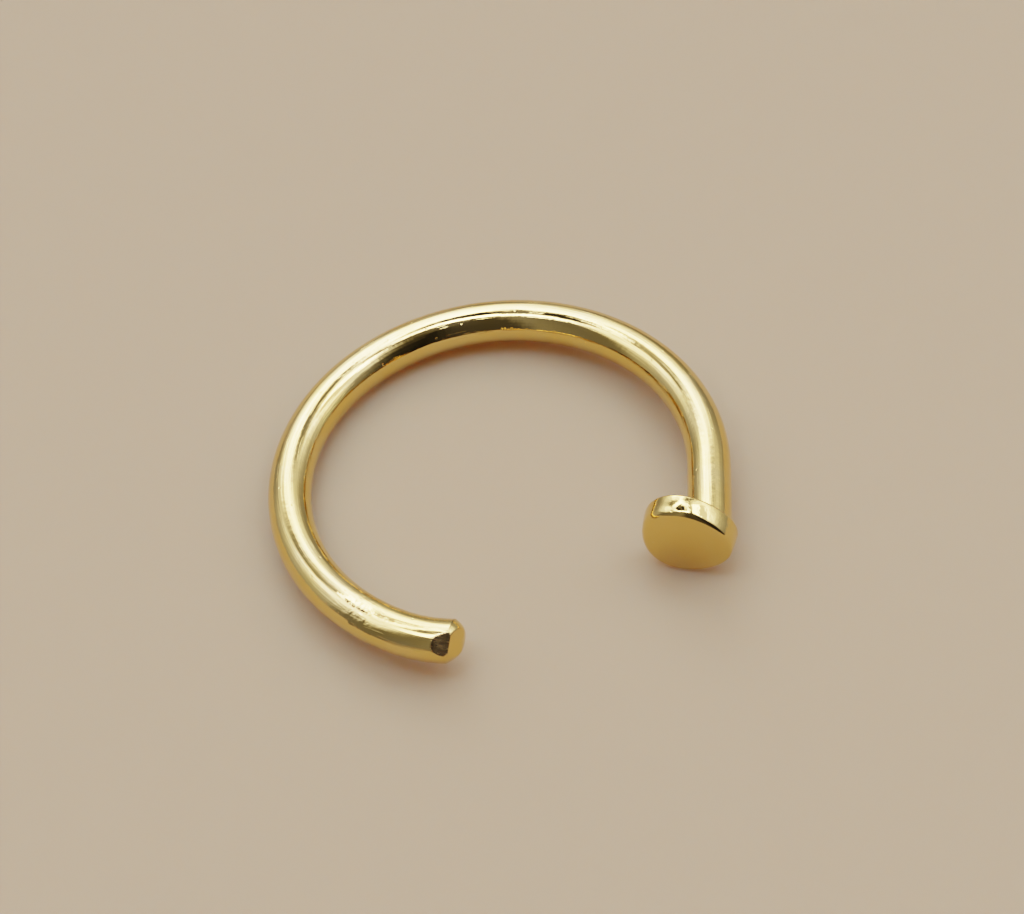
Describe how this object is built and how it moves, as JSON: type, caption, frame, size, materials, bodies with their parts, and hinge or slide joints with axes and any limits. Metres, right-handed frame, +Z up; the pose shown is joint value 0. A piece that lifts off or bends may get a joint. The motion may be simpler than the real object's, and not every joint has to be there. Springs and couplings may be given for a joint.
{
  "type": "nose ring",
  "caption": "Small open hoop of round gold-plated wire with a flat disc soldered on one end, shown lying on its side.",
  "frame": {"origin": "under the middle of the whole ring, on the surface that it lies on", "axes": "+Z up from that surface, through the hoop's hole; -Y the way the disc's flat face looks; the disc is on the +X side"},
  "size_m": [0.009, 0.0086, 0.0017],
  "materials": {
    "gold": "highly polished pale gold plating"
  },
  "bodies": {
    "root": {"hoop": "gold"}
  },
  "joints": []
}
